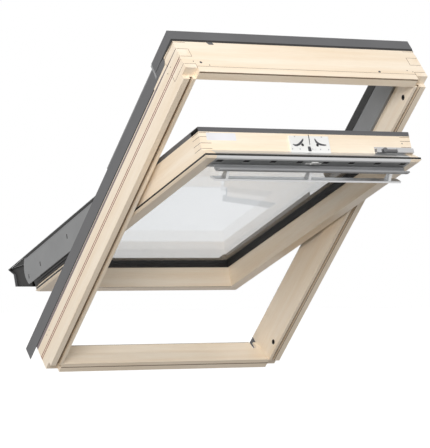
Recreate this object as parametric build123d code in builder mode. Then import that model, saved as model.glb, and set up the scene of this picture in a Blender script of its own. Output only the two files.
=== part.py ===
"""Centre pivot roof window: a pine frame, and a glazed sash that turns about its middle."""

import os
from math import cos, radians, sin

from build123d import *

os.makedirs("parts", exist_ok=True)

# Overall sizes and pose, in millimetres and degrees
frame_width = 780.0
frame_height = 1180.0
roof_pitch_angle = 45.0
sash_open_angle = 25.0
cleaning_angle = 165.3
ventilation_angle = 5.7
moving_gap = 5.5

# Frame timber
frame_depth = 127.0
frame_face = 38.0
frame_rebate = 9.0
rebate_start = 58.0
rebate_slope = 4.0
lining_groove_width = 9.0
lining_groove_depth = 9.0
lining_groove_from_edge = 20.0
corner_notch_depth = 14.0
corner_notch_height = 28.0
top_rail_face = 29.0
top_rail_body = 68.0
top_rail_step = 62.0
bottom_rail_face = 34.0
bottom_rail_slope = 18.0
bottom_rail_step = 5.0
bottom_rail_back = 6.0
bottom_rail_depth = 98.0

# Fingers of the top rail that show in the comb joints, from room face to back
frame_fingers = ((30.0, 60.0), (90.0, 116.5))
sash_fingers = ((-41.0, -25.0), (-7.0, 5.0))

# Pivot, measured from the frame's room face
pivot_out = 112.0
pin_radius = 6.0
pin_clearance = 0.05
pin_pocket_clearance = 0.5
pin_end_gap = 1.0
hinge_plate_height = 96.0
hinge_plate_width = 36.0
hinge_plate_gap = 9.0
pivot_plate_thickness = 3.0
pivot_plate_height = 84.0
pivot_plate_width = 30.0

# Sash timber, measured from the pivot line
sash_side_gap = 12.0
sash_face = 34.0
sash_room = 77.0
sash_back = 8.0
sash_top_below = 90.0
sash_bottom_above = 27.0
sash_bottom_rise = 0.265
sash_top_face = 38.0
sash_bottom_face = 41.0
lip_overlap = 6.5
lip_chamfer = 5.0
lip_edge = 1.0
gasket_width = 6.0
ridge_height = 3.0
ridge_edge = 0.5
ridge_run = 6.5
crest_edge = 4.5
crest_height = 20.0
crest_run = 15.0
corner_width = 28.0

# Glazing unit
pane_thickness = 4.0
pane_gap = 16.0
pane_edge_gap = 4.0
pane_bed = 11.0
glazing_rebate = 18.0
spacer_width = 10.0
spacer_inset = 3.0
gasket_lip = 3.0

# Sheet metal on the frame
sheet = 1.2
cover_sheet = 1.5
side_cover_start = 104.0
side_cover_out = 147.0
side_cover_below = 56.0
side_cover_short = 65.0
side_cover_lap = 12.0
side_cover_round = 18.0
bottom_cover_short = 19.0
bottom_cover_lap = 38.0
casing_out = 162.0
casing_lap = 92.0
casing_front = 34.0
casing_wing = 120.0
fin_out = 181.0
fin_gap = 0.5
fin_start = 60.0
fin_short = 100.0
fin_foot = 80.0
fin_cap = 16.0
seal_thickness = 1.0
seal_start = 150.0
seal_end = 178.0

# Sheet metal and seals on the sash
sash_cover_lap = 42.0
lower_cover_start = 50.0
lower_cover_foot = 36.0
lower_cover_below = 17.0
lower_cover_bulge = 19.0
lower_flange_out = 58.5
lower_flange_end_out = 52.0
lower_flange_width = 3.5
lower_flange_below = 134.0
nose_below = 140.0
nose_out = 55.0
nose_mouth = 28.0
gutter_below = 110.0
gutter_in = 10.0
gutter_end_below = 16.5
gutter_end_in = 43.0
bottom_fold_above = 25.0
nose_cap_in = 7.0
nose_cap_thickness = 3.0
cover_slots = ((5.0, -14.0), (90.0, -4.0), (282.5, 12.0))
slot_length = 15.0
slot_width = 6.0
strip_start = -57.0
strip_end = -37.0
strip_base = 1.5
strip_rib = 4.0
strip_rib_width = 3.0
strip_ribs = 3
strip_short = 40.0

# Lock and barrel bolt, on the top face of the sash
lock_centre = 3.0
lock_width = 127.0
lock_thickness = 5.0
lock_skin = 1.5
lock_play = 0.5
lock_slit = 1.5
lock_slit_length = 25.0
lock_hook_width = 6.0
lock_hook_eye = 4.5
lock_hook = ((17.0, -12.0), (24.0, -26.0), (50.0, -27.0))
lock_key = (-1.0, -40.0)
lock_key_size = (6.0, 11.0)
striker_width = 60.0
striker_height = 40.0
striker_thickness = 1.5
bolt_radius = 4.5
bolt_up = 8.0
bolt_in = 40.0
bolt_tip_back = 4.5
bolt_length = 118.0
bolt_clearance = 0.5
bolt_wall = 1.5
bolt_knob_radius = 7.0
bolt_knob_top = 8.5
bolt_knob_place = 23.0
bolt_plate_margin = 4.0
bolt_plate_thickness = 2.0
bolt_plate_edge = 27.0
bolt_cover_length = 54.0
bolt_end_length = 14.0
bush_radius = 8.0
bush_depth = 14.0
bush_rim = 1.0

# Ventilation grille, flap and handle
grille_thickness = 2.0
grille_low = -42.0
grille_high = 17.0
grille_slots = 8
grille_slot_pitch = 84.0
grille_slot_width = 21.0
grille_slot_height = 19.0
grille_slot_up = 5.5
filter_depth = 4.0
filter_up = 5.0
filter_margin = 0.5
bead_up = -19.0
bead_in = 3.5
flap_bead = 2.5
bead_clearance = 0.4
hook_lip = 1.6
hook_drop = 1.0
flap_centre = 5.0
flap_half = 306.0
flap_open_angle = 40.0
flap_neck = 4.0
flap_neck_thickness = 2.0
flap_thickness = 3.0
flap_length = 34.0
flap_bulge = 9.0
flap_edge_radius = 3.0
handle_half = 300.0
handle_up = 7.0
handle_in = 35.2
handle_width = 26.0
handle_thickness = 6.0
handle_round = 1.5
arm_spacing = 262.0
arm_width = 8.5
arm_foot = -5.0
arm_start = 10.0
arm_end = 18.5
latch_width = 20.0
latch_low = -3.0
latch_high = 11.0
latch_thickness = 3.0
latch_base_half = 25.0
latch_base_low = -6.0
latch_base_high = 3.0
latch_base_thickness = 1.0
latch_hole_width = 5.0
latch_hole_height = 8.0

# The frame's side face carries the window, and the origin lies on it
mount_out = 30.0

half_width = frame_width / 2
half_height = frame_height / 2
opening_half = half_width - frame_face
rebate_half = opening_half + frame_rebate
rebate_end = rebate_start + rebate_slope
sash_half = opening_half - sash_side_gap
sash_inner = sash_half - sash_face
sash_top = half_height - sash_top_below
sash_bottom = half_height - sash_bottom_above

frame_up = Vector(0, -cos(radians(roof_pitch_angle)), sin(radians(roof_pitch_angle)))
frame_out = Vector(0, sin(radians(roof_pitch_angle)), cos(radians(roof_pitch_angle)))
frame_axes = Plane(
    origin=Vector(-half_width, 0, 0) - frame_out * mount_out, x_dir=(1, 0, 0), z_dir=frame_up
)

sash_slope = roof_pitch_angle - sash_open_angle
sash_up = Vector(0, -cos(radians(sash_slope)), sin(radians(sash_slope)))
sash_axes = Plane(
    origin=frame_axes.from_local_coords((0, pivot_out, 0)), x_dir=(1, 0, 0), z_dir=sash_up
)


# Section planes: axes have x across the window, y outward and z up the slope
def section_across(axes, across):
    """Plane that cuts a rail: sketch x runs outward, sketch y up the slope."""
    return Plane(axes.from_local_coords((across, 0, 0)), x_dir=axes.y_dir, z_dir=axes.x_dir)


def section_up(axes, up):
    """Plane that cuts a stile: sketch x runs across, sketch y outward."""
    return Plane(axes.from_local_coords((0, 0, up)), x_dir=axes.x_dir, z_dir=axes.z_dir)


def face_plane(axes, out):
    """Plane seen from the room: sketch x runs across, sketch y up the slope."""
    return Plane(axes.from_local_coords((0, out, 0)), x_dir=axes.x_dir, z_dir=-axes.y_dir)


def bar(plane, outline, length):
    """Straight bar of one closed outline."""
    with BuildPart() as piece:
        with BuildSketch(plane):
            with BuildLine():
                Polyline(*outline, close=True)
            make_face()
        extrude(amount=length)
    return piece.part


def folded_sheet(plane, folds, thickness, length):
    """Thin sheet bent along the given folds, thickened to the left of its line."""
    with BuildPart() as piece:
        with BuildSketch(plane):
            with BuildLine():
                Polyline(*folds)
                offset(amount=thickness, side=Side.LEFT)
            make_face()
        extrude(amount=length)
    return piece.part


def box_between(axes, across, out, up):
    """Block between two limits on each axis."""
    plane = face_plane(axes, out[1])
    outline = [(across[0], up[0]), (across[1], up[0]), (across[1], up[1]), (across[0], up[1])]
    return bar(plane, outline, out[1] - out[0])


def side_box(axes, side, across, out, up):
    """Block on the left or the right, with its limits across given from the middle."""
    return box_between(axes, sorted((side * across[0], side * across[1])), out, up)


def save(piece, name):
    """Label a finished piece and write it."""
    piece.part.label = name
    export_step(piece.part, f"parts/{name}.step")


sides = {"left": -1, "right": 1}

# Comb joint of frame top rail and stiles: the rail's fingers lie in the stiles' slots
body_under = half_height - top_rail_body
lip_under = half_height - top_rail_face
with BuildPart() as top_rail_blank:
    with BuildSketch(section_across(frame_axes, -half_width)):
        with BuildLine():
            Polyline(
                (corner_notch_depth, half_height),
                (frame_depth, half_height),
                (frame_depth, body_under),
                (top_rail_step + rebate_slope, body_under),
                (top_rail_step, lip_under),
                (corner_notch_depth, lip_under),
                close=True,
            )
        make_face()
    extrude(amount=frame_width)

with BuildPart() as top_rail_fingers:
    for finger in frame_fingers:
        across = (-half_width, half_width)
        add(box_between(frame_axes, across, finger, (body_under, half_height)))
    add(top_rail_blank.part, mode=Mode.INTERSECT)


# Frame stiles: lining groove on the room face, rebate behind the inner land
def stile_blank(side):
    groove_outer = half_width - lining_groove_from_edge
    groove_inner = groove_outer - lining_groove_width
    outline = [
        (opening_half, 0),
        (groove_inner, 0),
        (groove_inner, lining_groove_depth),
        (groove_outer, lining_groove_depth),
        (groove_outer, 0),
        (half_width, 0),
        (half_width, frame_depth),
        (rebate_half, frame_depth),
        (rebate_half, rebate_end),
        (opening_half, rebate_start),
    ]
    outline = [(side * x, y) for x, y in outline]
    return bar(section_up(frame_axes, -half_height), outline, frame_height)


def cladding_seat(side):
    """Shallow step along the outer face, in which the side cladding lies flush."""
    across = (half_width - sheet, half_width)
    up = (-half_height, half_height)
    return side_box(frame_axes, side, across, (side_cover_start, frame_depth), up)


def frame_stile(side):
    with BuildPart() as piece:
        add(stile_blank(side))
        for end in (-1, 1):
            up = sorted((end * half_height, end * (half_height - corner_notch_height)))
            across = (opening_half, half_width)
            notch = side_box(frame_axes, side, across, (0, corner_notch_depth), up)
            add(notch, mode=Mode.SUBTRACT)
        add(top_rail_fingers.part, mode=Mode.SUBTRACT)
        add(cladding_seat(side), mode=Mode.SUBTRACT)
    return piece


def bolt_place(turn):
    """Out and up of the barrel bolt's axis when the sash stands open by this turn."""
    along = sash_top + bolt_up
    up = along * cos(radians(turn)) - bolt_in * sin(radians(turn))
    out = pivot_out - along * sin(radians(turn)) - bolt_in * cos(radians(turn))
    return out, up


frame_left_stile = frame_stile(-1)
with BuildPart() as frame_right_stile:
    add(frame_stile(1).part)
    for turn in (ventilation_angle, cleaning_angle):
        with BuildSketch(section_across(frame_axes, opening_half)):
            with Locations(bolt_place(turn)):
                Circle(bush_radius)
        extrude(amount=bush_depth, mode=Mode.SUBTRACT)
save(frame_left_stile, "frame_left_stile")
save(frame_right_stile, "frame_right_stile")

# Top rail: a room lip between the corner notches, and a deep body that the sash closes under
with BuildPart() as frame_top_rail:
    add(top_rail_blank.part)
    for side in sides.values():
        add(stile_blank(side) - top_rail_fingers.part, mode=Mode.SUBTRACT)
        add(cladding_seat(side), mode=Mode.SUBTRACT)
    across = (-opening_half, opening_half)
    add(box_between(frame_axes, across, (0, corner_notch_depth), (lip_under, half_height)))
save(frame_top_rail, "frame_top_rail")

# Bottom rail: its upper face falls away outward, so that the sash can swing over it, and a
# slot near each end lets the sash's lower cover pass
with BuildPart() as frame_bottom_rail:
    with BuildSketch(section_across(frame_axes, -rebate_half)):
        with BuildLine():
            land_end = -half_height + bottom_rail_face - bottom_rail_slope
            Polyline(
                (0, -half_height),
                (bottom_rail_depth, -half_height),
                (bottom_rail_depth, -half_height + bottom_rail_back),
                (rebate_end, land_end - bottom_rail_step),
                (rebate_start, land_end),
                (0, -half_height + bottom_rail_face),
                close=True,
            )
        make_face()
    extrude(amount=2 * rebate_half)
    for side in sides.values():
        add(stile_blank(side), mode=Mode.SUBTRACT)
        across = (sash_half - moving_gap, sash_half + cover_sheet + moving_gap)
        out = (pivot_out - lower_cover_foot - moving_gap, bottom_rail_depth)
        up = (-half_height, -half_height + bottom_rail_face)
        add(side_box(frame_axes, side, across, out, up), mode=Mode.SUBTRACT)
save(frame_bottom_rail, "frame_bottom_rail")


# Side claddings: folded sheet over the outer edge of each stile, with a rounded upper corner
def frame_cladding(side):
    outline = [
        (half_width - sheet, side_cover_start),
        (half_width, side_cover_start),
        (half_width, side_cover_out),
        (half_width - side_cover_lap, side_cover_out),
        (half_width - side_cover_lap, frame_depth),
        (half_width - side_cover_lap + sheet, frame_depth),
        (half_width - side_cover_lap + sheet, side_cover_out - sheet),
        (half_width - sheet, side_cover_out - sheet),
    ]
    upper_end = half_height - side_cover_short
    corner = frame_axes.from_local_coords((side * half_width, side_cover_start, upper_end))
    with BuildPart() as piece:
        with BuildSketch(section_up(frame_axes, -half_height - side_cover_below)):
            with BuildLine():
                Polyline(*[(side * x, y) for x, y in outline], close=True)
            make_face()
        extrude(amount=half_height + side_cover_below + upper_end)
        fillet(piece.edges().filter_by(Axis.X).sort_by_distance(corner)[0], side_cover_round)
    return piece


for name, side in sides.items():
    save(frame_cladding(side), f"frame_{name}_cladding")

# Bottom cladding: an angle around the bottom rail's outer corner
with BuildPart() as frame_bottom_cladding:
    cladding_half = opening_half - bottom_cover_short
    with BuildSketch(section_across(frame_axes, -cladding_half)):
        with BuildLine():
            Polyline(
                (bottom_rail_depth, -half_height + bottom_rail_back),
                (bottom_rail_depth + sheet, -half_height + bottom_rail_back),
                (bottom_rail_depth + sheet, -half_height - sheet),
                (bottom_rail_depth - bottom_cover_lap, -half_height - sheet),
                (bottom_rail_depth - bottom_cover_lap, -half_height),
                (bottom_rail_depth, -half_height),
                close=True,
            )
        make_face()
    extrude(amount=2 * cladding_half)
save(frame_bottom_cladding, "frame_bottom_cladding")

# Head casing: a folded cover over the top rail, with a wing down each side
with BuildPart() as head_casing:
    casing_start = casing_out - casing_front
    with BuildSketch(section_across(frame_axes, -half_width - sheet)):
        with BuildLine():
            Polyline(
                (casing_start, half_height),
                (casing_start, half_height + sheet),
                (casing_out, half_height + sheet),
                (casing_out, half_height - casing_lap),
                (casing_out - sheet, half_height - casing_lap),
                (casing_out - sheet, half_height),
                close=True,
            )
        make_face()
    extrude(amount=frame_width + 2 * sheet)
    for side in sides.values():
        across = (half_width, half_width + sheet)
        up = (half_height - casing_wing, half_height)
        add(side_box(frame_axes, side, across, (casing_start, casing_out), up))
save(head_casing, "head_casing")


# Upper covers: folded boxes on the frame beside the upper half of the sash
def upper_cover(side):
    inner = opening_half + fin_gap
    outline = [
        (inner, fin_foot),
        (inner, fin_out),
        (inner + fin_cap, fin_out),
        (inner + fin_cap, frame_depth),
        (inner + fin_cap - cover_sheet, frame_depth),
        (inner + fin_cap - cover_sheet, fin_out - cover_sheet),
        (inner + cover_sheet, fin_out - cover_sheet),
        (inner + cover_sheet, fin_foot + cover_sheet),
        (rebate_half, fin_foot + cover_sheet),
        (rebate_half, fin_foot),
    ]
    with BuildPart() as piece:
        with BuildSketch(section_up(frame_axes, fin_start)):
            with BuildLine():
                Polyline(*[(side * x, y) for x, y in outline], close=True)
            make_face()
        extrude(amount=half_height - fin_short - fin_start)
    return piece


def upper_seal(side):
    inner = opening_half + fin_gap
    up = (fin_start, half_height - fin_short)
    with BuildPart() as piece:
        across = (inner - seal_thickness, inner)
        add(side_box(frame_axes, side, across, (seal_start, seal_end), up))
    return piece


# Hinge plates: on the stiles, each with the pin that the sash turns on
def hinge_plate(side):
    face = sash_half + hinge_plate_gap
    out = (pivot_out - hinge_plate_width / 2, pivot_out + hinge_plate_width / 2)
    up = (-hinge_plate_height / 2, hinge_plate_height / 2)
    with BuildPart() as piece:
        add(side_box(frame_axes, side, (face, rebate_half), out, up))
        with BuildSketch(section_across(frame_axes, side * face)):
            with Locations((pivot_out, 0)):
                Circle(pin_radius)
        extrude(amount=-side * (face - sash_inner - sash_face / 2))
    return piece


for name, side in sides.items():
    save(upper_cover(side), f"upper_{name}_cover")
    save(upper_seal(side), f"upper_{name}_seal")
    save(hinge_plate(side), f"{name}_hinge_plate")

# Striker plate, under the top rail
with BuildPart() as striker_plate:
    across = (-striker_width / 2, striker_width / 2)
    out = (pivot_out - striker_height, pivot_out)
    add(box_between(frame_axes, across, out, (body_under - striker_thickness, body_under)))
save(striker_plate, "striker_plate")


# Bushes for the barrel bolt, in the right stile
def bolt_bush(turn):
    with BuildPart() as piece:
        with BuildSketch(section_across(frame_axes, opening_half)):
            with Locations(bolt_place(turn)):
                Circle(bush_radius)
        extrude(amount=bush_depth)
        with BuildSketch(section_across(frame_axes, opening_half)):
            with Locations(bolt_place(turn)):
                Circle(bolt_radius + bolt_clearance)
        extrude(amount=bush_depth - bush_rim, mode=Mode.SUBTRACT)
    return piece


save(bolt_bush(ventilation_angle), "ventilation_bush")
save(bolt_bush(cleaning_angle), "cleaning_bush")

# Sash timber and glazing, all measured from the pivot line
sash_inner_top = sash_top - sash_top_face
sash_inner_bottom = -sash_bottom + sash_bottom_face
pane_room = -pane_thickness
shelf = pane_room - pane_bed
pane_back = pane_gap + pane_thickness
pane_half = sash_inner + glazing_rebate - pane_edge_gap
pane_top = sash_inner_top + glazing_rebate - pane_edge_gap
pane_bottom = sash_inner_bottom - glazing_rebate + pane_edge_gap

# The room edge's section: chamfered lip, groove for the gasket, and a small ridge beside it
lip_start = -sash_room + lip_chamfer
groove_start = lip_start + lip_edge
groove_end = groove_start + gasket_width
ridge_top = groove_end + ridge_edge
vent_bar_half = sash_half - corner_width


def edge_section(base):
    """Height over the sash's outer face, and out, of the lip, the groove and the ridge."""
    return [
        (base + lip_overlap - gasket_width, -sash_room),
        (base + lip_overlap, lip_start),
        (base + lip_overlap, groove_start),
        (base, groove_start),
        (base, groove_end),
        (base + ridge_height, groove_end),
        (base + ridge_height, ridge_top),
    ]


# Top edge, shared by the timber corners and the metal ventilation bar between them
crest = sash_top + crest_height
crest_start = ridge_top + crest_edge
slope_start = crest_start + crest_run
top_edge = [(-sash_room, sash_top)]
top_edge += [(out, up) for up, out in edge_section(crest)]
top_edge += [(crest_start, crest), (slope_start, sash_top)]


def slope_out(height):
    """How far out the slope behind the crest stands at this height over the top face."""
    return slope_start - height * crest_run / crest_height


# Side elevation of the sash, whose underside rises toward the room
underside = -sash_bottom - sash_bottom_rise * (sash_back - lip_start)
sash_elevation = [
    (-sash_room, -sash_bottom + lip_overlap),
    (lip_start, -sash_bottom),
    (sash_back, underside),
    (sash_back, crest + lip_overlap),
    (-sash_room, crest + lip_overlap),
]

# Comb joint of the sash's top rail and stiles
with BuildPart() as sash_rail_fingers:
    for finger in sash_fingers:
        across = (-sash_half, sash_half)
        add(box_between(sash_axes, across, finger, (sash_inner_top, sash_top)))


def sash_stile(side):
    edge = edge_section(sash_half)
    edge.append((sash_half, ridge_top + ridge_run))
    outline = [(sash_inner, -sash_room), *edge, (sash_half, sash_back)]
    outline += [(sash_inner + glazing_rebate, sash_back), (sash_inner + glazing_rebate, shelf)]
    outline.append((sash_inner, shelf))
    corner = [(vent_bar_half, -sash_room), *edge, (sash_half, slope_start)]
    corner.append((vent_bar_half, slope_start))
    with BuildPart() as block:
        with BuildSketch(section_up(sash_axes, sash_top)):
            with BuildLine():
                Polyline(*[(side * x, y) for x, y in corner], close=True)
            make_face()
        extrude(amount=crest_height + lip_overlap)
        edge_length = 2 * (sash_half + lip_overlap)
        edge_plane = section_across(sash_axes, -edge_length / 2)
        add(bar(edge_plane, top_edge, edge_length), mode=Mode.INTERSECT)
    with BuildPart() as piece:
        with BuildSketch(section_up(sash_axes, underside)):
            with BuildLine():
                Polyline(*[(side * x, y) for x, y in outline], close=True)
            make_face()
        extrude(amount=sash_top - underside)
        across = (sash_inner, sash_inner + glazing_rebate)
        above = (sash_inner_top + glazing_rebate, sash_top)
        below = (underside, sash_inner_bottom - glazing_rebate)
        for up in (above, below):
            add(side_box(sash_axes, side, across, (shelf, sash_back), up))
        add(bar(edge_plane, sash_elevation, edge_length), mode=Mode.INTERSECT)
        add(sash_rail_fingers.part, mode=Mode.SUBTRACT)
        add(block.part)
        pocket_length = sash_face / 2 + lip_overlap + pin_end_gap
        with BuildSketch(section_across(sash_axes, side * (sash_half + lip_overlap))):
            Circle(pin_radius + pin_pocket_clearance)
        extrude(amount=-side * pocket_length, mode=Mode.SUBTRACT)
    return piece


sash_stiles = {name: sash_stile(side) for name, side in sides.items()}
for name, stile in sash_stiles.items():
    save(stile, f"sash_{name}_stile")

# Top rail: its room side is cut back for the filter behind the grille
filter_low = sash_top - filter_up
with BuildPart() as sash_top_rail:
    with BuildSketch(section_across(sash_axes, -sash_inner)):
        with BuildLine():
            Polyline(
                (-sash_room, sash_inner_top),
                (-sash_room, filter_low),
                (-sash_room + filter_depth, filter_low),
                (-sash_room + filter_depth, sash_top),
                (sash_back, sash_top),
                (sash_back, sash_inner_top + glazing_rebate),
                (shelf, sash_inner_top + glazing_rebate),
                (shelf, sash_inner_top),
                close=True,
            )
        make_face()
    extrude(amount=2 * sash_inner)
    add(sash_rail_fingers.part)
    for side in sides.values():
        across = (0, sash_inner + glazing_rebate)
        up = (sash_inner_top, sash_inner_top + glazing_rebate)
        add(side_box(sash_axes, side, across, (shelf, sash_back), up), mode=Mode.SUBTRACT)
save(sash_top_rail, "sash_top_rail")

with BuildPart() as sash_bottom_rail:
    with BuildSketch(section_across(sash_axes, -sash_inner)):
        with BuildLine():
            Polyline(
                (-sash_room, sash_inner_bottom),
                (-sash_room, -sash_bottom + lip_overlap),
                (lip_start, -sash_bottom),
                (sash_back, underside),
                (sash_back, sash_inner_bottom - glazing_rebate),
                (shelf, sash_inner_bottom - glazing_rebate),
                (shelf, sash_inner_bottom),
                close=True,
            )
        make_face()
    extrude(amount=2 * sash_inner)
save(sash_bottom_rail, "sash_bottom_rail")

# Gasket in the groove behind the lip, along both sides and the top
with BuildPart() as sash_gasket:
    gasket_half = sash_half + gasket_width
    gasket_low = -sash_bottom + lip_overlap
    out = (groove_start, groove_end)
    add(
        box_between(
            sash_axes, (-gasket_half, gasket_half), out, (gasket_low, crest + gasket_width)
        )
    )
    hollow = box_between(sash_axes, (-sash_half, sash_half), out, (gasket_low, crest))
    add(hollow, mode=Mode.SUBTRACT)
save(sash_gasket, "sash_gasket")

with BuildPart() as inner_pane:
    add(box_between(sash_axes, (-pane_half, pane_half), (pane_room, 0), (pane_bottom, pane_top)))
save(inner_pane, "inner_pane")

with BuildPart() as outer_pane:
    out = (pane_gap, pane_back)
    add(box_between(sash_axes, (-pane_half, pane_half), out, (pane_bottom, pane_top)))
save(outer_pane, "outer_pane")


def ring(outer, inner, out):
    """Flat rectangular ring, each given as half width, bottom and top."""
    with BuildPart() as piece:
        add(box_between(sash_axes, (-outer[0], outer[0]), out, outer[1:]))
        add(box_between(sash_axes, (-inner[0], inner[0]), out, inner[1:]), mode=Mode.SUBTRACT)
    return piece


def inset(distance):
    """Edge of the panes, moved inward."""
    return pane_half - distance, pane_bottom + distance, pane_top - distance


pane_spacer = ring(inset(spacer_inset), inset(spacer_inset + spacer_width), (0, pane_gap))
save(pane_spacer, "pane_spacer")
gasket_inner = glazing_rebate - pane_edge_gap + gasket_lip
glazing_gasket = ring(inset(0), inset(gasket_inner), (shelf, pane_room))
save(glazing_gasket, "glazing_gasket")

# Sash claddings: strips that hold the panes from outside
sash_cover_out = pane_back + cover_sheet
with BuildPart() as sash_top_cladding:
    with BuildSketch(section_across(sash_axes, -sash_half)):
        with BuildLine():
            Polyline(
                (sash_back, sash_top),
                (sash_cover_out, sash_top),
                (sash_cover_out, sash_top - sash_cover_lap),
                (pane_back, sash_top - sash_cover_lap),
                (pane_back, sash_top - cover_sheet),
                (sash_back, sash_top - cover_sheet),
                close=True,
            )
        make_face()
    extrude(amount=2 * sash_half)
save(sash_top_cladding, "sash_top_cladding")


def sash_cladding(side):
    outline = [
        (sash_half, sash_back),
        (sash_half, sash_cover_out),
        (sash_half - sash_cover_lap, sash_cover_out),
        (sash_half - sash_cover_lap, pane_back),
        (sash_half - cover_sheet, pane_back),
        (sash_half - cover_sheet, sash_back),
    ]
    with BuildPart() as piece:
        with BuildSketch(section_up(sash_axes, sash_inner_bottom)):
            with BuildLine():
                Polyline(*[(side * x, y) for x, y in outline], close=True)
            make_face()
        extrude(amount=sash_top - sash_cover_lap - sash_inner_bottom)
    return piece


# Lower covers: plates on the sash's sides with a round lower end, and a flange on their edge
cover_end = half_height + lower_cover_below
flange_end = half_height + lower_flange_below


def flange_out(down):
    """How far out the flange stands at this distance below the pivot line."""
    fall = (lower_flange_out - lower_flange_end_out) / (flange_end - lower_cover_start)
    return lower_flange_out - fall * (down - lower_cover_start)


def lower_cover(side):
    web_out = flange_out(cover_end)
    with BuildPart() as piece:
        with BuildSketch(section_across(sash_axes, side * sash_half)):
            with BuildLine():
                Polyline(
                    (web_out, -cover_end),
                    (lower_flange_out, -lower_cover_start),
                    (-lower_cover_foot, -lower_cover_start),
                    (-lower_cover_foot, -cover_end),
                )
                SagittaArc((-lower_cover_foot, -cover_end), (web_out, -cover_end), -lower_cover_bulge)
            make_face()
            for above, out in cover_slots:
                with Locations((out, -cover_end + above)):
                    SlotOverall(slot_length, slot_width, mode=Mode.SUBTRACT)
        extrude(amount=side * cover_sheet)
        flange = [
            (lower_flange_out, -lower_cover_start),
            (lower_flange_out - cover_sheet, -lower_cover_start),
            (lower_flange_end_out - cover_sheet, -flange_end),
            (lower_flange_end_out, -flange_end),
        ]
        start = sash_half if side > 0 else -sash_half - lower_flange_width
        add(bar(section_across(sash_axes, start), flange, lower_flange_width))
    return piece


def pivot_plate(side):
    out = (-pivot_plate_width / 2, pivot_plate_width / 2)
    up = (-pivot_plate_height / 2, pivot_plate_height / 2)
    across = (sash_half, sash_half + pivot_plate_thickness)
    with BuildPart() as piece:
        add(side_box(sash_axes, side, across, out, up))
        with BuildSketch(section_across(sash_axes, side * sash_half)):
            Circle(pin_radius + pin_clearance)
        extrude(amount=side * pivot_plate_thickness, mode=Mode.SUBTRACT)
    return piece


for name, side in sides.items():
    save(sash_cladding(side), f"sash_{name}_cladding")
    save(lower_cover(side), f"lower_{name}_cover")
    save(pivot_plate(side), f"{name}_pivot_plate")

# Ribbed seals on the sash's sides, between the lip and the lower covers
rib_pitch = (strip_end - strip_start - strip_rib_width) / (strip_ribs - 1)
with BuildPart() as lower_seals:
    for side in sides.values():
        up = (-sash_bottom + strip_short, -lower_cover_start)
        across = (sash_half, sash_half + strip_base)
        add(side_box(sash_axes, side, across, (strip_start, strip_end), up))
        for rib in range(strip_ribs):
            rib_start = strip_start + rib * rib_pitch
            across = (sash_half, sash_half + strip_rib)
            out = (rib_start, rib_start + strip_rib_width)
            add(side_box(sash_axes, side, across, out, up))
save(lower_seals, "lower_seals")

# Bottom cover: from the pane's edge over the bottom rail to the nose, and folded back under
with BuildPart() as sash_bottom_cladding:
    folds = [
        (pane_back, sash_inner_bottom),
        (pane_back, -half_height + bottom_fold_above),
        (nose_out - cover_sheet, -half_height - nose_below),
        (nose_mouth, -half_height - gutter_below),
        (-gutter_in, -half_height - gutter_below),
        (-gutter_end_in, -half_height - gutter_end_below),
    ]
    add(folded_sheet(section_across(sash_axes, -sash_half), folds, cover_sheet, 2 * sash_half))
    rib_up = (-sash_bottom, -sash_bottom + cover_sheet)
    add(box_between(sash_axes, (-sash_half, sash_half), (sash_back, pane_back), rib_up))
save(sash_bottom_cladding, "sash_bottom_cladding")

# Caps that close the hollow ends of the bottom cladding
with BuildPart() as nose_caps:
    nose_run = folds[2][0] - folds[1][0]
    cap_out = folds[1][0] + nose_run * bottom_fold_above / (bottom_fold_above + nose_below)
    cap_outline = [(sash_back, -half_height), (cap_out, -half_height), *folds[2:]]
    cap_end = sash_half - nose_cap_in
    for start in (-cap_end, cap_end - nose_cap_thickness):
        add(bar(section_across(sash_axes, start), cap_outline, nose_cap_thickness))
save(nose_caps, "nose_caps")

# Lock casing: a white shell over the dark works, with a slit, two hooks and a keyway
lock_half = lock_width / 2
lock_high = sash_top + lock_thickness
with BuildPart() as lock_casing:
    with BuildSketch(section_across(sash_axes, lock_centre - lock_half)):
        with BuildLine():
            Polyline(
                (slope_start, sash_top),
                (slope_out(lock_thickness), lock_high),
                (0, lock_high),
                (0, sash_top),
                close=True,
            )
        make_face()
    extrude(amount=lock_width)
    across = (lock_centre - lock_half + lock_skin, lock_centre + lock_half - lock_skin)
    out = (slope_start + lock_skin, -lock_skin)
    works_high = lock_high - lock_skin
    add(box_between(sash_axes, across, out, (sash_top, works_high)), mode=Mode.SUBTRACT)
    with BuildSketch(section_up(sash_axes, works_high)):
        with Locations((lock_centre, -lock_slit_length / 2)):
            Rectangle(lock_slit, lock_slit_length)
        for side in sides.values():
            points = [(lock_centre + side * x, y) for x, y in lock_hook]
            SlotArc(ThreePointArc(*points, mode=Mode.PRIVATE), lock_hook_width)
            with Locations(points[1]):
                Circle(lock_hook_eye)
        with Locations((lock_centre + lock_key[0], lock_key[1])):
            Rectangle(*lock_key_size)
    extrude(amount=lock_skin, mode=Mode.SUBTRACT)
save(lock_casing, "lock_casing")

with BuildPart() as lock_works:
    across = (across[0] + lock_play, across[1] - lock_play)
    out = (out[0] + lock_play, out[1] - lock_play)
    add(box_between(sash_axes, across, out, (sash_top, works_high - lock_play)))
save(lock_works, "lock_works")

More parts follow.
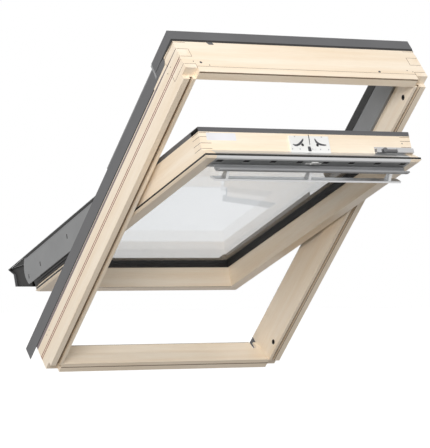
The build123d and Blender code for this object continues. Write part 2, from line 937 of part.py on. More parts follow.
# Barrel bolt: it slides to the right, between a short end piece and a long cover
bolt_line = sash_top + bolt_up
bolt_tip = sash_half - bolt_tip_back
bolt_start = bolt_tip - bolt_length
plate_start = bolt_start - bolt_plate_margin
bolt_hole = bolt_radius + bolt_clearance
cover_height = bolt_up + bolt_hole + bolt_wall
with BuildPart() as bolt_plate:
    plate_outline = [
        (slope_start, sash_top),
        (slope_out(bolt_plate_thickness), sash_top + bolt_plate_thickness),
        (-bolt_plate_edge, sash_top + bolt_plate_thickness),
        (-bolt_plate_edge, sash_top),
    ]
    add(bar(section_across(sash_axes, plate_start), plate_outline, bolt_tip - plate_start))
    cover_side = -bolt_in - bolt_hole - bolt_wall
    cover_back = -bolt_in + bolt_hole + bolt_wall
    side_height = (slope_start - cover_side) * crest_height / crest_run
    cover_outline = [
        (slope_start, sash_top),
        (cover_side, sash_top + side_height),
        (cover_side, sash_top + cover_height),
        (cover_back, sash_top + cover_height),
        (cover_back, sash_top),
    ]
    cover_start = bolt_tip - bolt_cover_length
    add(bar(section_across(sash_axes, cover_start), cover_outline, bolt_cover_length))
    add(bar(section_across(sash_axes, plate_start), cover_outline, bolt_end_length))
    with BuildSketch(section_across(sash_axes, plate_start)):
        with Locations((-bolt_in, bolt_line)):
            Circle(bolt_hole)
    extrude(amount=bolt_tip - plate_start, mode=Mode.SUBTRACT)
save(bolt_plate, "bolt_plate")

with BuildPart() as barrel_bolt:
    with BuildSketch(section_across(sash_axes, bolt_start)):
        with Locations((-bolt_in, bolt_line)):
            Circle(bolt_radius)
    extrude(amount=bolt_length)
    with BuildSketch(section_up(sash_axes, bolt_line)):
        with Locations((bolt_start + bolt_knob_place, -bolt_in)):
            Circle(bolt_knob_radius)
    extrude(amount=bolt_knob_top)
save(barrel_bolt, "barrel_bolt")

# Ventilation bar: the metal top edge between the timber corners
filter_high = sash_top + grille_slot_height / 2 + grille_slot_up + filter_margin
with BuildPart() as vent_bar:
    add(bar(section_across(sash_axes, -vent_bar_half), top_edge, 2 * vent_bar_half))
    out = (-sash_room, -sash_room + filter_depth)
    across = (-sash_inner, sash_inner)
    filter_space = box_between(sash_axes, across, out, (filter_low, filter_high))
    add(filter_space, mode=Mode.SUBTRACT)
save(vent_bar, "vent_bar")

with BuildPart() as vent_filter:
    add(filter_space)
save(vent_filter, "vent_filter")

# Grille: slotted strip on the room face, with a hook along its lower edge for the flap's bead
flap_line = (-sash_room - bead_in, sash_top + bead_up)
hook_radius = flap_bead + bead_clearance
grille_face = -sash_room - grille_thickness
hook_front = flap_line[0] - hook_radius - hook_lip
hook_low = flap_line[1] - hook_radius - hook_lip
with BuildPart() as vent_grille:
    with BuildSketch(section_across(sash_axes, -vent_bar_half)):
        with BuildLine():
            Polyline(
                (-sash_room, sash_top + grille_low),
                (-sash_room, sash_top + grille_high),
                (grille_face, sash_top + grille_high),
                (grille_face, flap_line[1]),
                (hook_front, flap_line[1] - hook_drop),
                (hook_front, hook_low + hook_lip),
                (hook_front + hook_lip, hook_low),
                close=True,
            )
        make_face()
        with Locations(flap_line):
            Circle(hook_radius, mode=Mode.SUBTRACT)
    extrude(amount=2 * vent_bar_half)
    with BuildSketch(face_plane(sash_axes, -sash_room)):
        with Locations((0, sash_top + grille_slot_up)):
            with GridLocations(grille_slot_pitch, grille_slot_pitch, grille_slots, 1):
                Rectangle(grille_slot_width, grille_slot_height)
    extrude(amount=grille_thickness, mode=Mode.SUBTRACT)
save(vent_grille, "vent_grille")

# Ventilation flap: a curved shell that turns on its bead, with its hollow side to the grille
flap_rise = sash_up * cos(radians(flap_open_angle))
flap_reach = sash_axes.y_dir * sin(radians(flap_open_angle))
flap_axes = Plane(
    origin=sash_axes.from_local_coords((flap_centre, *flap_line)),
    x_dir=(1, 0, 0),
    z_dir=flap_rise - flap_reach,
)
with BuildPart() as vent_flap:
    with BuildSketch(section_across(flap_axes, -flap_half)):
        Circle(flap_bead)
        with Locations((0, flap_neck)):
            Rectangle(flap_neck_thickness, 2 * flap_neck)
        with BuildLine():
            room_start = (-flap_thickness / 2, flap_neck)
            room_end = (-flap_thickness / 2, flap_length)
            back_start = (flap_thickness / 2, flap_neck)
            back_end = (flap_thickness / 2, flap_length)
            SagittaArc(room_start, room_end, flap_bulge)
            Line(room_end, back_end)
            SagittaArc(back_start, back_end, flap_bulge)
            Line(back_start, room_start)
        make_face()
        with Locations((0, flap_length)):
            Circle(flap_edge_radius)
    extrude(amount=2 * flap_half)
save(vent_flap, "vent_flap")

# Handle: a flat bar along the flap, on three arms
with BuildPart() as handle_bar:
    with BuildSketch(section_across(flap_axes, -flap_centre - handle_half)):
        with Locations((-handle_in, handle_up)):
            RectangleRounded(handle_thickness, handle_width, handle_round)
    extrude(amount=2 * handle_half)
save(handle_bar, "handle_bar")

for arm_name, place in (("left", -arm_spacing), ("middle", 0), ("right", arm_spacing)):
    with BuildPart() as handle_arm:
        middle = place - flap_centre
        arm_low = -handle_in + handle_thickness / 2
        outline = [(arm_low, arm_foot), (arm_low, arm_end), (0, arm_end), (0, arm_start)]
        add(bar(section_across(flap_axes, middle - arm_width / 2), outline, arm_width))
        add(vent_flap.part, mode=Mode.SUBTRACT)
        across = (middle - arm_width / 2, middle + arm_width / 2)
        above = box_between(flap_axes, across, (-flap_bulge, flap_bulge), (arm_foot, arm_end))
        add(above, mode=Mode.SUBTRACT)
    save(handle_arm, f"{arm_name}_handle_arm")

# Catch on the grille, which the flap's edge clips to
with BuildPart() as flap_latch:
    across = (flap_centre - latch_base_half, flap_centre + latch_base_half)
    out = (grille_face - latch_base_thickness, grille_face)
    up = (sash_top + latch_base_low, sash_top + latch_base_high)
    add(box_between(sash_axes, across, out, up))
    across = (flap_centre - latch_width / 2, flap_centre + latch_width / 2)
    out = (grille_face - latch_thickness, grille_face)
    add(box_between(sash_axes, across, out, (sash_top + latch_low, sash_top + latch_high)))
    across = (flap_centre - latch_hole_width / 2, flap_centre + latch_hole_width / 2)
    hole_up = (sash_top + latch_low, sash_top + latch_low + latch_hole_height)
    hole_out = (grille_face - latch_thickness, grille_face - latch_base_thickness)
    add(box_between(sash_axes, across, hole_out, hole_up), mode=Mode.SUBTRACT)
save(flap_latch, "flap_latch")
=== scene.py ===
"""Looks of the centre pivot roof window: pine, lacquered metal, rubber, glass and fittings."""

from math import cos, pi, radians, sin

import bmesh
import bpy
from mathutils import Matrix, Vector


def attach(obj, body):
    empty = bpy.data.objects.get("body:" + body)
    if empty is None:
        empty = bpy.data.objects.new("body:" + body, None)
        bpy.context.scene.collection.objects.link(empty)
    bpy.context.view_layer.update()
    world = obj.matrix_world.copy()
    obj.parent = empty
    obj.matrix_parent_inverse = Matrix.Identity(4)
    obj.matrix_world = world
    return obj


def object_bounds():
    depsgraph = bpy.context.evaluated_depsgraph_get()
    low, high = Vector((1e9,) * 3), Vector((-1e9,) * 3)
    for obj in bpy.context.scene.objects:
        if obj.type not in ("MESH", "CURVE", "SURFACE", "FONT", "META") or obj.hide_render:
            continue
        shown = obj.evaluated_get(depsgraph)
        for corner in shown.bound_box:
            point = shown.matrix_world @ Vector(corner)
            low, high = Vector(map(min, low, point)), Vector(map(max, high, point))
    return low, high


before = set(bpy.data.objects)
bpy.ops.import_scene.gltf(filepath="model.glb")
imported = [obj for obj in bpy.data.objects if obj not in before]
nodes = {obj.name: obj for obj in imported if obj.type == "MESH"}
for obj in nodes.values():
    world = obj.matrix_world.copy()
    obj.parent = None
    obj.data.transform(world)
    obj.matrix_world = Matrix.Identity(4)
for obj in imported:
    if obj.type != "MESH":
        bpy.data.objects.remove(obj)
cad_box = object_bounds()

# Pose of the two timber frames, with points in metres
ROOF_PITCH = radians(45.0)
SASH_SLOPE = radians(20.0)
UPRIGHT = radians(90.0)
MIDDLE = (-0.39, 0.0, 0.0)
PIVOT = (-0.39, 0.057983, 0.057983)
ROOM_FACE = (-0.39, -0.0212132, -0.0212132)
MILLIMETRE = 0.001

# Camera that was fitted to the frame's corners in the photograph
CAMERA_PLACE = Vector((-4.446, -6.957, -0.088))
CAMERA_TURN = radians(29.916)
CAMERA_TILT = radians(90.577)
CAMERA_REACH = 60.0
IMAGE_WIDTH = 430
FOCAL_PIXELS = 2805.1
SENSOR_WIDTH = 36.0

# Background and lamps: each lamp's place in metres, its size in metres and its power in watts
FLOOR_DROP = 0.30
FLOOR_REACH = 20.0
FLOOR_LIFT = 0.86
SKY_LIGHT = 0.56
LAMPS = {
    "key": ((-2.2, -4.4, 4.2), 2.6, 45.0),
    "side": ((-6.0, -0.6, 0.9), 2.6, 52.0),
    "front": ((-4.2, -5.6, 1.8), 2.4, 270.0),
}

# Timber sizes in millimetres: frame from its middle and room face, sash from its pivot
SIDES = (-1, 1)
HALF_WIDTH = 390.0
HALF_HEIGHT = 590.0
STILE = 38.0
CORNER_NOTCH = 28.0
GROOVE_OUTER = 20.0
GROOVE_INNER = 29.0
GROOVE_DEPTH = 9.0
TOP_RAIL_DEPTH = 66.0
CLADDING_EDGE = 103.0
CASING_EDGE = 127.9
SASH_HALF = 340.0
SASH_INNER = 306.0
SASH_TOP = 500.0
SASH_BOTTOM = 523.2
SASH_ROOM = 77.0
LOCK_FACE = SASH_TOP + 5.0
RAIL_FINGERS = ((30.0, 60.0), (90.0, 116.5))
STILE_FINGERS = ((14.0, 30.0), (60.0, 90.0))
SASH_FINGERS = (-41.0, -25.0, -7.0, 5.0)

# Drawn lines: their width, how far they stand proud, and what stays free at a timber's edge
LINE = 1.1
PROUD = 0.12
SEAL_PROUD = 0.9
FRAME_MARGIN = 2.0
SASH_MARGIN = 1.0

# How many sides a round piece has
ROUND_SIDES = 20

# Axes of a mesh: x across, y outward, z up the slope
ACROSS, UP = 0, 2

# Stretch of the pine's noise, with the grain along one axis
GRAIN_ACROSS = (1.0, 14.0, 14.0)
GRAIN_UP = (14.0, 14.0, 1.0)


class Nodes:
    """A node tree, with short calls to add and join nodes."""

    def __init__(self, tree):
        self.tree = tree

    def add(self, kind, **inputs):
        node = self.tree.nodes.new(kind)
        for name, value in inputs.items():
            node.inputs[name.replace("_", " ")].default_value = value
        return node

    def join(self, output, target):
        self.tree.links.new(output, target)

    def maximum(self, first, second):
        node = self.add("ShaderNodeMath")
        node.operation = "MAXIMUM"
        self.join(first, node.inputs[0])
        self.join(second, node.inputs[1])
        return node.outputs["Value"]

    def background_rays(self):
        """1 for the rays that show the background: to the camera, off gloss and through glass."""
        rays = self.add("ShaderNodeLightPath").outputs
        near = self.maximum(rays["Is Camera Ray"], rays["Is Glossy Ray"])
        return self.maximum(near, rays["Is Transmission Ray"])

    def choose(self, factor, first, second):
        """The second shader where the factor is 1, and else the first."""
        node = self.add("ShaderNodeMixShader")
        for output, target in zip((factor, first, second), node.inputs):
            self.join(output, target)
        return node.outputs["Shader"]


class Material(Nodes):
    """A material's node tree, round its main shader."""

    def __init__(self, name):
        self.material = bpy.data.materials.new(name)
        self.material.use_nodes = True
        super().__init__(self.material.node_tree)
        self.shader = self.tree.nodes["Principled BSDF"]
        self.plain = self.shader.outputs["BSDF"]

    def surface(self, colour, **values):
        """Join the colour to the shader, and set its other values."""
        self.join(colour, self.shader.inputs["Base Color"])
        for name, value in values.items():
            self.shader.inputs[name.replace("_", " ")].default_value = value

    def show(self, output):
        self.join(output, self.tree.nodes["Material Output"].inputs["Surface"])

    def ramp(self, factor, low, high):
        """Colour between two stops, each given as its place and its colour."""
        node = self.add("ShaderNodeValToRGB")
        for element, (place, colour) in zip(node.color_ramp.elements, (low, high)):
            element.position = place
            element.color = (*colour, 1.0)
        self.join(factor, node.inputs["Fac"])
        return node.outputs["Color"]

    def coordinates(self, slope, scale=(1.0, 1.0, 1.0)):
        """Object coordinates turned so that x runs across, y outward and z up the slope."""
        place = self.add("ShaderNodeTexCoord")
        turn = self.add("ShaderNodeMapping", Rotation=(slope - UPRIGHT, 0.0, 0.0))
        self.join(place.outputs["Object"], turn.inputs["Vector"])
        stretch = self.add("ShaderNodeMapping", Scale=scale)
        self.join(turn.outputs["Vector"], stretch.inputs["Vector"])
        return stretch.outputs["Vector"]

    def noise(self, vector, scale, detail, roughness=0.5):
        node = self.add("ShaderNodeTexNoise", Scale=scale, Detail=detail, Roughness=roughness)
        self.join(vector, node.inputs["Vector"])
        return node.outputs["Fac"]

    def darken(self, share, colour, shade):
        """Multiply a colour by a share of the shade."""
        node = self.add("ShaderNodeMix")
        node.data_type = "RGBA"
        node.blend_type = "MULTIPLY"
        inputs = {socket.identifier: socket for socket in node.inputs}
        outputs = {socket.identifier: socket for socket in node.outputs}
        inputs["Factor_Float"].default_value = share
        self.join(colour, inputs["A_Color"])
        self.join(shade, inputs["B_Color"])
        return outputs["Result_Color"]

    def bump(self, height, distance, strength):
        node = self.add("ShaderNodeBump", Strength=strength, Distance=distance)
        self.join(height, node.inputs["Height"])
        self.join(node.outputs["Normal"], self.shader.inputs["Normal"])


def srgb(red, green, blue):
    """Linear colour of a screen colour given from 0 to 255."""
    def linear(value):
        value /= 255.0
        return value / 12.92 if value <= 0.04045 else ((value + 0.055) / 1.055) ** 2.4
    return linear(red), linear(green), linear(blue)


def scaled(colour, share):
    return tuple(part * share for part in colour)


def timber(name, slope, stretch):
    """Lacquered pine, with its grain along the axis that the stretch leaves at 1."""
    tree = Material(name)
    grain = tree.coordinates(slope, stretch)
    rings = tree.noise(grain, scale=2.2, detail=4.0, roughness=0.55)
    streaks = tree.noise(grain, scale=26.0, detail=5.0, roughness=0.6)
    base = tree.ramp(rings, (0.35, srgb(250, 236, 216)), (0.72, srgb(242, 222, 195)))
    fine = tree.ramp(streaks, (0.3, (0.93, 0.91, 0.88)), (0.6, (1.0, 1.0, 1.0)))
    colour = tree.darken(0.5, base, fine)
    tree.surface(colour, Roughness=0.42, Coat_Weight=0.15, Coat_Roughness=0.3)
    tree.bump(streaks, distance=0.0002, strength=0.3)
    return tree.material


def lacquer(name, colour, roughness):
    """Lacquered sheet metal, clouded a little and with a fine orange peel."""
    tree = Material(name)
    place = tree.coordinates(ROOF_PITCH)
    cloud = tree.noise(place, scale=9.0, detail=4.0)
    peel = tree.noise(place, scale=900.0, detail=2.0)
    tone = tree.ramp(cloud, (0.3, scaled(colour, 0.88)), (0.7, colour))
    tree.surface(tone, Roughness=roughness)
    tree.bump(peel, distance=0.00005, strength=0.4)
    return tree.material


def brushed(name, colour, roughness):
    """Metal brushed across the window."""
    tree = Material(name)
    place = tree.coordinates(SASH_SLOPE, (2.0, 260.0, 260.0))
    lines = tree.noise(place, scale=4.0, detail=3.0)
    tone = tree.ramp(lines, (0.3, scaled(colour, 0.85)), (0.7, colour))
    tree.surface(tone, Roughness=roughness, Metallic=0.75)
    tree.bump(lines, distance=0.00004, strength=0.5)
    return tree.material


def rubber(name, colour):
    """Matt rubber or moulded plastic with a fine grain."""
    tree = Material(name)
    grain = tree.noise(tree.coordinates(ROOF_PITCH), scale=500.0, detail=2.0)
    tone = tree.ramp(grain, (0.3, colour), (0.8, scaled(colour, 1.6)))
    tree.surface(tone, Roughness=0.6)
    tree.bump(grain, distance=0.00005, strength=0.5)
    return tree.material


def pane(name):
    """Clear glass that lets the lamps' light through."""
    tree = Material(name)
    haze = tree.noise(tree.coordinates(SASH_SLOPE), scale=3.0, detail=3.0)
    tint = tree.ramp(haze, (0.3, (0.855, 0.867, 0.876)), (0.7, (0.87, 0.88, 0.89)))
    tree.surface(tint, Roughness=0.0, Transmission_Weight=1.0, IOR=1.22)
    clear = tree.add("ShaderNodeBsdfTransparent", Color=(0.9, 0.91, 0.92, 1.0))
    shadow = tree.add("ShaderNodeLightPath").outputs["Is Shadow Ray"]
    tree.show(tree.choose(shadow, tree.plain, clear.outputs["BSDF"]))
    return tree.material


def paint(material, *names):
    for name in names:
        slots = nodes[name].data.materials
        if not slots:
            slots.append(material)
        for index in range(len(slots)):
            slots[index] = material


def link(obj):
    bpy.context.scene.collection.objects.link(obj)


def add_camera():
    data = bpy.data.cameras.new("camera")
    data.sensor_fit = "HORIZONTAL"
    data.sensor_width = SENSOR_WIDTH
    data.lens = SENSOR_WIDTH * FOCAL_PIXELS / IMAGE_WIDTH
    data.clip_end = CAMERA_REACH
    obj = bpy.data.objects.new("camera", data)
    obj.location = CAMERA_PLACE
    obj.rotation_euler = (CAMERA_TILT, 0.0, -CAMERA_TURN)
    link(obj)
    bpy.context.scene.camera = obj


def add_sky():
    """World that shows white and lights softly."""
    world = bpy.data.worlds.new("studio")
    bpy.context.scene.world = world
    world.use_nodes = True
    world.node_tree.nodes.clear()
    tree = Nodes(world.node_tree)
    output = tree.add("ShaderNodeOutputWorld")
    shown = tree.add("ShaderNodeBackground", Color=(1.0, 1.0, 1.0, 1.0), Strength=1.0)
    lit = tree.add("ShaderNodeBackground", Color=(1.0, 0.995, 0.98, 1.0), Strength=SKY_LIGHT)
    either = tree.choose(
        tree.background_rays(), lit.outputs["Background"], shown.outputs["Background"]
    )
    tree.join(either, output.inputs["Surface"])


def add_floor():
    """Floor that shows pale, keeps the object's shadow and throws little light back."""
    mesh = bpy.data.meshes.new("floor")
    plane = bmesh.new()
    bmesh.ops.create_grid(plane, x_segments=1, y_segments=1, size=FLOOR_REACH)
    plane.to_mesh(mesh)
    plane.free()
    floor = bpy.data.objects.new("floor", mesh)
    floor.location = (0.0, 0.0, cad_box[0][2] - FLOOR_DROP)
    link(floor)
    tree = Material("floor")
    grain = tree.noise(tree.coordinates(0.0), scale=30.0, detail=3.0)
    tone = tree.ramp(grain, (0.3, (0.22, 0.21, 0.20)), (0.7, (0.24, 0.23, 0.22)))
    tree.surface(tone, Roughness=0.9)
    glow = tree.add("ShaderNodeEmission", Color=(1.0, 1.0, 1.0, 1.0), Strength=FLOOR_LIFT)
    lifted = tree.add("ShaderNodeAddShader")
    tree.join(tree.plain, lifted.inputs[0])
    tree.join(glow.outputs["Emission"], lifted.inputs[1])
    tree.show(tree.choose(tree.background_rays(), tree.plain, lifted.outputs["Shader"]))
    mesh.materials.append(tree.material)


def add_lamp(name, place, size, power):
    data = bpy.data.lights.new(name, "AREA")
    data.shape = "SQUARE"
    data.size = size
    data.energy = power
    obj = bpy.data.objects.new(name, data)
    obj.location = place
    obj.rotation_euler = (Vector(MIDDLE) - Vector(place)).to_track_quat("-Z", "Y").to_euler()
    link(obj)


def axes_at(origin, slope):
    """Axes with x across, y outward and z up the slope, in metres for sizes in millimetres."""
    turn = Matrix.Rotation(slope - UPRIGHT, 4, "X").inverted()
    return Matrix.Translation(Vector(origin)) @ turn @ Matrix.Scale(MILLIMETRE, 4)


# Each body's axes, which its small pieces are drawn along
AXES = {"frame": axes_at(ROOM_FACE, ROOF_PITCH), "sash": axes_at(PIVOT, SASH_SLOPE)}


def emit(name, body, mesh, material):
    """Make an object of a built mesh, on its body."""
    bmesh.ops.recalc_face_normals(mesh, faces=mesh.faces)
    bmesh.ops.transform(mesh, matrix=AXES[body], verts=mesh.verts)
    data = bpy.data.meshes.new(name)
    mesh.to_mesh(data)
    mesh.free()
    data.materials.append(material)
    piece = bpy.data.objects.new(name, data)
    link(piece)
    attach(piece, body)


def mirrored(side, near, far):
    """Limits across, on the left or the right side."""
    return tuple(sorted((side * near, side * far)))


def placed(along, height, first, second):
    """Point at a height along one axis, with the other two coordinates in their order."""
    point = [first, second]
    point.insert(along, height)
    return point


def prism(mesh, along, outline, start, end):
    """Add an outline drawn across one axis, swept from start to end along it."""
    rings = []
    for place in (start, end):
        rings.append([mesh.verts.new(placed(along, place, *corner)) for corner in outline])
    faces = [mesh.faces.new(ring) for ring in rings]
    first, last = rings
    for index in range(len(outline)):
        after = (index + 1) % len(outline)
        side = (first[index], first[after], last[after], last[index])
        faces.append(mesh.faces.new(side))
    return faces


def slab(mesh, across, out, up, bevel=0.0):
    """Add a block, with softened edges where a bevel is given."""
    outline = [(across[0], out[0]), (across[1], out[0]), (across[1], out[1]), (across[0], out[1])]
    faces = prism(mesh, UP, outline, *up)
    if bevel:
        edges = list({edge for face in faces for edge in face.edges})
        bmesh.ops.bevel(
            mesh, geom=edges, offset=bevel, segments=2, profile=0.5, affect="EDGES"
        )


def turned(mesh, along, centre, profile):
    """Add a solid of revolution: its profile is given as (radius, height) from axis to axis."""
    middle = list(centre)
    base = middle.pop(along)
    rings = []
    for radius, height in profile:
        ring = []
        for step in range(ROUND_SIDES if radius > 0.0 else 1):
            angle = 2.0 * pi * step / ROUND_SIDES
            first = middle[0] + radius * cos(angle)
            second = middle[1] + radius * sin(angle)
            ring.append(mesh.verts.new(placed(along, base + height, first, second)))
        rings.append(ring)
    for low, high in zip(rings, rings[1:]):
        for step in range(ROUND_SIDES):
            after = (step + 1) % ROUND_SIDES
            corners = [low[step % len(low)], low[after % len(low)]]
            corners += [high[after % len(high)], high[step % len(high)]]
            corners = list(dict.fromkeys(corners))
            if len(corners) > 2:
                mesh.faces.new(corners)


def ribbon(mesh, points, widths, low, high):
    """Add a flat strip along points given across and outward, with its width at each."""
    left, right = [], []
    for index, point in enumerate(points):
        before = Vector(points[max(index - 1, 0)])
        after = Vector(points[min(index + 1, len(points) - 1)])
        way = (after - before).normalized()
        normal = Vector((-way.y, way.x)) * (widths[index] / 2)
        left.append(tuple(Vector(point) + normal))
        right.append(tuple(Vector(point) - normal))
    rims = []
    for height in (low, high):
        rims.append([mesh.verts.new((x, y, height)) for x, y in left + right[::-1]])
    count = len(points)
    for rim in rims:
        for index in range(count - 1):
            far = 2 * count - 1 - index
            mesh.faces.new((rim[index], rim[index + 1], rim[far - 1], rim[far]))
    lower, upper = rims
    for index in range(2 * count):
        after = (index + 1) % (2 * count)
        mesh.faces.new((lower[index], lower[after], upper[after], upper[index]))


def screw_head(radius):
    """Profile of a round head with a sunk drive."""
    rim = [(0.0, 0.0), (radius, 0.0), (radius, 0.15), (0.86 * radius, 0.5)]
    return rim + [(0.45 * radius, 0.62), (0.36 * radius, 0.2), (0.0, 0.2)]


def hole_mouth(radius):
    """Profile of a small hole's mouth: a thin ring with a lower middle."""
    ring = [(0.0, 0.0), (radius, 0.0), (radius, 0.12), (0.7 * radius, 0.12)]
    return ring + [(0.6 * radius, 0.04), (0.0, 0.04)]


def fittings(name, body, along, side, places, profile, material):
    """Like fittings at some places of a face that looks to one side along an axis."""
    mesh = bmesh.new()
    for place in places:
        turned(mesh, along, place, [(radius, side * height) for radius, height in profile])
    emit(name, body, mesh, material)


def frame_lines():
    """Comb joint lines on the top face and on the outer faces, and painted shade in a small
    groove on the top face.
    """
    mesh = bmesh.new()
    low = HALF_HEIGHT - TOP_RAIL_DEPTH
    top = (HALF_HEIGHT, HALF_HEIGHT + PROUD)
    inner = HALF_WIDTH - STILE
    for side in SIDES:
        face = mirrored(side, HALF_WIDTH, HALF_WIDTH + PROUD)
        for finger in RAIL_FINGERS:
            for out in finger:
                band = (out - LINE / 2, out + LINE / 2)
                slab(mesh, mirrored(side, inner, HALF_WIDTH - FRAME_MARGIN), band, top)
                slab(mesh, face, band, (low, HALF_HEIGHT))
        for start, end in RAIL_FINGERS:
            slab(mesh, face, (start, min(end, CLADDING_EDGE)), (low - LINE, low))
        for finger in STILE_FINGERS:
            slab(mesh, mirrored(side, inner, inner + LINE), finger, top)
    # Dark line painted as the shade in the small groove along the top face.
    groove_shade_line = (20.5, 21.5)
    slab(mesh, (-inner, inner), groove_shade_line, top)
    emit("frame_joint_lines", "frame", mesh, joint_line_and_groove_shade)


def stile_lines():
    """Double line and narrow strip that run down the stiles' outer faces."""
    double = bmesh.new()
    strip = bmesh.new()
    edge = bmesh.new()
    wing_end = 430.0
    strip_start, strip_end, strip_top = 90.0, 99.5, 588.0
    outline = [(strip_start, -HALF_HEIGHT), (strip_end, -HALF_HEIGHT), (96.0, wing_end)]
    outline += [(91.5, strip_top), (89.5, strip_top)]
    for side in SIDES:
        face = mirrored(side, HALF_WIDTH, HALF_WIDTH + PROUD)
        for start, end in ((50.2, 52.8), (57.2, 59.8)):
            slab(double, face, (start, end), (-HALF_HEIGHT, HALF_HEIGHT - 4.0))
        prism(strip, ACROSS, outline, *face)
        # Black strip painted as the shadow gap between the cladding's edge and the timber.
        slab(edge, face, (strip_end, 103.9), (-HALF_HEIGHT, wing_end))
    emit("red_brown_stile_lines", "frame", double, red_line)
    emit("stile_strips", "frame", strip, violet)
    emit("cladding_edge_shade", "frame", edge, black)


def casing_details():
    """Black strip painted as the shadow gap under the head casing's front edge and at its ends,
    the casing's clip, and the wings' folded ends in a grey lightened as painted highlight.
    """
    # The seal mesh is a black strip painted as the shadow gap between the casing and the timber.
    seal = bmesh.new()
    fold = bmesh.new()
    clip = bmesh.new()
    raised = (HALF_HEIGHT, HALF_HEIGHT + SEAL_PROUD)
    slab(seal, (-HALF_WIDTH, HALF_WIDTH), (120.5, CASING_EDGE), raised, bevel=0.3)
    shadow_gap_end = [(118.5, HALF_HEIGHT), (CASING_EDGE, HALF_HEIGHT), (CASING_EDGE, 506.0)]
    shadow_gap_end += [(125.0, 522.0)]
    # The folded ends are drawn in a lighter grey as painted highlight on their curved face.
    tongue = [(112.0, 458.0), (117.0, 466.0), (158.0, 469.8), (160.0, 469.8), (160.0, 463.0)]
    tongue += [(130.0, 461.0)]
    for side in SIDES:
        face = mirrored(side, HALF_WIDTH + 0.05, HALF_WIDTH + 1.0)
        prism(seal, ACROSS, shadow_gap_end, *face)
        prism(fold, ACROSS, tongue, *face)
    tab = [(-279.0, 112.0), (-264.0, 112.0), (-266.0, 120.4), (-284.0, 120.4)]
    prism(clip, UP, tab, *raised)
    emit("head_casing_seal", "frame", seal, black)
    emit("casing_wing_folds", "frame", fold, fold_highlight_grey)
    emit("casing_clip", "frame", clip, grey)


def sash_lines():
    """Comb joint lines of the sash."""
    mesh = bmesh.new()
    for side in SIDES:
        across = mirrored(side, SASH_INNER, SASH_HALF - SASH_MARGIN)
        face = mirrored(side, SASH_HALF, SASH_HALF + PROUD)
        for out in SASH_FINGERS:
            band = (out - LINE / 2, out + LINE / 2)
            slab(mesh, across, band, (SASH_TOP, SASH_TOP + PROUD))
            slab(mesh, face, band, (SASH_TOP - STILE, SASH_TOP - 0.5))
    emit("sash_joint_lines", "sash", mesh, joint_line_and_groove_shade)


def edge_shades():
    """Shaded bottoms of the lining grooves, and the dark lines along the rails' edges."""
    mesh = bmesh.new()
    end = HALF_HEIGHT - CORNER_NOTCH
    inner = HALF_WIDTH - STILE
    for side in SIDES:
        groove = mirrored(side, HALF_WIDTH - GROOVE_INNER + 0.1, HALF_WIDTH - GROOVE_OUTER - 0.1)
        slab(mesh, groove, (GROOVE_DEPTH - 0.4, GROOVE_DEPTH - 0.05), (-end, end))
        land = mirrored(side, HALF_WIDTH - GROOVE_OUTER, HALF_WIDTH - 17.6)
        slab(mesh, land, (-PROUD, 0.0), (-end, end))
    for band in ((-572.5, -569.5), (584.5, 588.5)):
        slab(mesh, (-inner, inner), (-PROUD, 0.0), band)
    emit("frame_edge_shades", "frame", mesh, shade)
    mesh = bmesh.new()
    band = (-525.0, -522.4)
    slab(mesh, (-SASH_INNER, SASH_INNER), (-SASH_ROOM - PROUD, -SASH_ROOM), band)
    emit("sash_edge_shade", "sash", mesh, shade)


def lock_details():
    """Hooks, slit, keyway, screws and the small knob on the lock's white casing."""
    hooks = bmesh.new()
    left = [(-52.0, -25.0), (-46.0, -28.0), (-38.0, -27.6), (-30.0, -23.5), (-23.0, -17.5)]
    left += [(-17.5, -11.0), (-16.0, -8.0)]
    right = [(55.5, -25.5), (47.0, -25.8), (38.0, -24.5), (30.0, -21.5), (24.5, -16.5)]
    right += [(22.0, -10.5), (21.5, -7.0)]
    widths = (2.0, 5.0, 6.0, 6.5, 6.0, 4.0, 1.5)
    for points in (left, right):
        ribbon(hooks, points, widths, LOCK_FACE, LOCK_FACE + 0.3)
    slit = [(3.2, 4.5), (3.2, -12.0), (2.0, -26.0)]
    ribbon(hooks, slit, (2.4, 2.8, 1.6), LOCK_FACE, LOCK_FACE + 0.2)
    keyway_across, keyway_out = (-6.0, 3.0), (-45.0, -31.0)
    slab(hooks, keyway_across, keyway_out, (LOCK_FACE, LOCK_FACE + 0.25))
    emit("lock_hooks", "sash", hooks, dark_steel)
    screws = [(-42.0, -2.0), (44.0, -2.0), (-32.0, -39.0), (34.0, -39.0)]
    screws += [(-56.0, -39.0), (60.0, -39.0), (9.0, -38.5)]
    places = [(across, out, LOCK_FACE) for across, out in screws]
    fittings("lock_screws", "sash", UP, 1, places, screw_head(1.9), steel)
    knob = [(0.0, 0.0), (3.4, 0.0), (3.4, 1.6), (2.9, 2.2), (1.4, 2.4), (0.0, 2.4)]
    fittings("lock_knob", "sash", UP, 1, [(15.0, -37.0, LOCK_FACE)], knob, white)


def flange(down):
    """How far out the lower cover's flange stands at this distance below the pivot."""
    return 58.5 - 6.5 * (down - 50.0) / 674.0


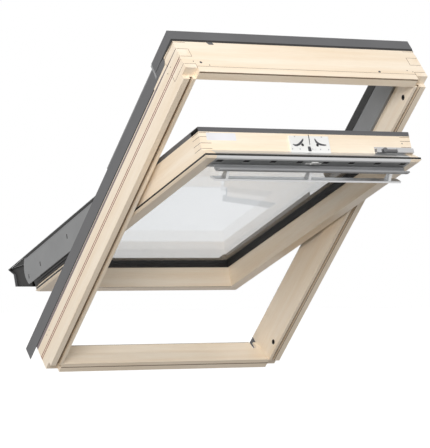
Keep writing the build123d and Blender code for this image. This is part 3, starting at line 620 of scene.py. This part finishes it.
def cover_details():
    """Black seals and slots of the lower covers, ribs of the sash's ends, and the nose's ends;
    the strip under each flange stands for its seal together with painted shade of the gap.
    """
    seals = bmesh.new()
    nose = bmesh.new()
    # Black strip under the flange: partly the seal there, partly painted shade of the gap under
    # the overhang.
    under_flange = [(flange(55.0) - 8.0, -55.0), (flange(55.0) - 1.5, -55.0)]
    under_flange += [(flange(624.0) - 1.5, -624.0), (flange(600.0) - 8.5, -600.0)]
    sash_end = [(-33.0, -576.0), (-33.0, -558.0), (-66.0, -551.0), (-70.0, -566.0)]
    filler = [(24.5, -575.0), (flange(575.0) - 1.6, -575.0), (flange(723.0) - 1.6, -714.0)]
    for side in SIDES:
        prism(seals, ACROSS, under_flange, *mirrored(side, 341.5, 343.2))
        on_side = mirrored(side, SASH_HALF, SASH_HALF + SEAL_PROUD)
        prism(seals, ACROSS, sash_end, *on_side)
        prism(nose, ACROSS, filler, *mirrored(side, 331.0, 339.6))
        base = mirrored(side, SASH_HALF, SASH_HALF + 1.0)
        slab(seals, base, (-57.0, -37.0), (-558.0, -SASH_BOTTOM))
        for out, up in ((-4.0, -517.0), (12.0, -324.5)):
            slab(seals, on_side, (out - 7.0, out + 7.0), (up - 2.6, up + 2.6))
        rib = mirrored(side, SASH_HALF, SASH_HALF + 2.2)
        for out in (-57.0, -48.5, -40.0):
            slab(seals, rib, (out, out + 3.0), (-556.0, -SASH_BOTTOM))
    emit("lower_cover_seals", "sash", seals, black)
    emit("nose_end_fillers", "sash", nose, black)


def fixings():
    """Screws and the mouths of small holes that show in the timber."""
    outer = [(75.0, 512.0), (77.0, 534.0), (79.5, -516.0), (80.0, -496.0)]
    mouth = hole_mouth(1.6)
    for name, side in (("stile_holes_left", -1), ("stile_holes_right", 1)):
        places = [(side * HALF_WIDTH, out, up) for out, up in outer]
        fittings(name, "frame", ACROSS, side, places, mouth, hole_shade)
    top_holes = [(-356.0, 40.0), (-311.0, 27.0), (331.0, 36.0), (348.0, 31.0)]
    places = [(across, out, HALF_HEIGHT) for across, out in top_holes]
    fittings("top_rail_holes", "frame", UP, 1, places, hole_mouth(1.7), hole_shade)
    top_screws = [(-334.0, 37.0), (234.0, 26.5)]
    places = [(across, out, HALF_HEIGHT) for across, out in top_screws]
    fittings("top_rail_screws", "frame", UP, 1, places, screw_head(3.8), dark_steel)
    places = [(311.0, -14.0, SASH_TOP), (322.0, -58.0, SASH_TOP)]
    fittings("sash_top_holes", "sash", UP, 1, places, hole_mouth(1.8), hole_shade)


def label():
    """Paper label without text."""
    mesh = bmesh.new()
    slab(mesh, (-318.0, -226.0), (-16.5, 5.0), (SASH_TOP, SASH_TOP + 0.2))
    emit("blank_label", "sash", mesh, paper)


bpy.context.scene.view_settings.view_transform = "Standard"
add_camera()
add_sky()
add_floor()
for name, settings in LAMPS.items():
    add_lamp(name, *settings)

for part, slope in (("frame", ROOF_PITCH), ("sash", SASH_SLOPE)):
    stile_pine = timber(f"pine {part} stile", slope, GRAIN_UP)
    rail_pine = timber(f"pine {part} rail", slope, GRAIN_ACROSS)
    paint(stile_pine, f"{part}_left_stile", f"{part}_right_stile")
    paint(rail_pine, f"{part}_top_rail", f"{part}_bottom_rail")

grey = lacquer("grey lacquer", srgb(92, 92, 94), 0.45)
pale_grey = lacquer("pale grey lacquer", srgb(138, 139, 140), 0.45)
grille_grey = lacquer("grille grey lacquer", srgb(150, 151, 152), 0.45)
flap_grey = lacquer("flap grey lacquer", srgb(154, 155, 157), 0.4)
# Lighter grey painted as the highlight on the casing wings' curved folds.
fold_highlight_grey = lacquer("painted highlight grey", srgb(150, 151, 152), 0.4)
white = lacquer("white lacquer", srgb(238, 238, 236), 0.35)
paper = lacquer("white paper", srgb(236, 236, 240), 0.7)
# Dark brown of the comb joints, also drawn as painted shade in the top face's small groove.
joint_line_and_groove_shade = lacquer("joint line and groove shade", srgb(108, 80, 58), 0.6)
red_line = lacquer("red brown line", srgb(126, 50, 38), 0.6)
violet = lacquer("violet grey strip", srgb(132, 120, 122), 0.6)
shade = lacquer("groove shade", srgb(126, 104, 80), 0.6)
silver = brushed("satin aluminium", srgb(216, 217, 218), 0.35)
steel = brushed("zinc steel", srgb(190, 190, 192), 0.3)
bright_zinc = brushed("bright zinc", srgb(204, 204, 205), 0.45)
bolt_steel = brushed("bolt steel", srgb(120, 120, 122), 0.35)
dark_steel = brushed("dark steel", srgb(88, 88, 92), 0.4)
# Black rubber; it also colours black strips painted as shadow in gaps.
black = rubber("black rubber and painted shadow", srgb(24, 23, 22))
hole_shade = rubber("hole shade", srgb(40, 32, 26))

paint(grey, *[name for name in nodes if "cladding" in name or name == "head_casing"])
paint(pale_grey, *[name for name in nodes if name.endswith("_cover")])
paint(flap_grey, "vent_flap")
paint(grille_grey, "vent_grille")
paint(white, "lock_casing", "flap_latch")
paint(black, *[name for name in nodes if "seal" in name or "gasket" in name or "bush" in name])
paint(black, "pane_spacer", "vent_filter", "lock_works", "nose_caps")
paint(pane("window glass"), "inner_pane", "outer_pane")
paint(silver, "vent_bar", "handle_bar", *[name for name in nodes if "handle_arm" in name])
paint(steel, "left_hinge_plate", "right_hinge_plate", "left_pivot_plate", "right_pivot_plate")
paint(steel, "striker_plate")
paint(bright_zinc, "bolt_plate")
paint(bolt_steel, "barrel_bolt")

frame_lines()
stile_lines()
casing_details()
sash_lines()
edge_shades()
lock_details()
cover_details()
fixings()
label()
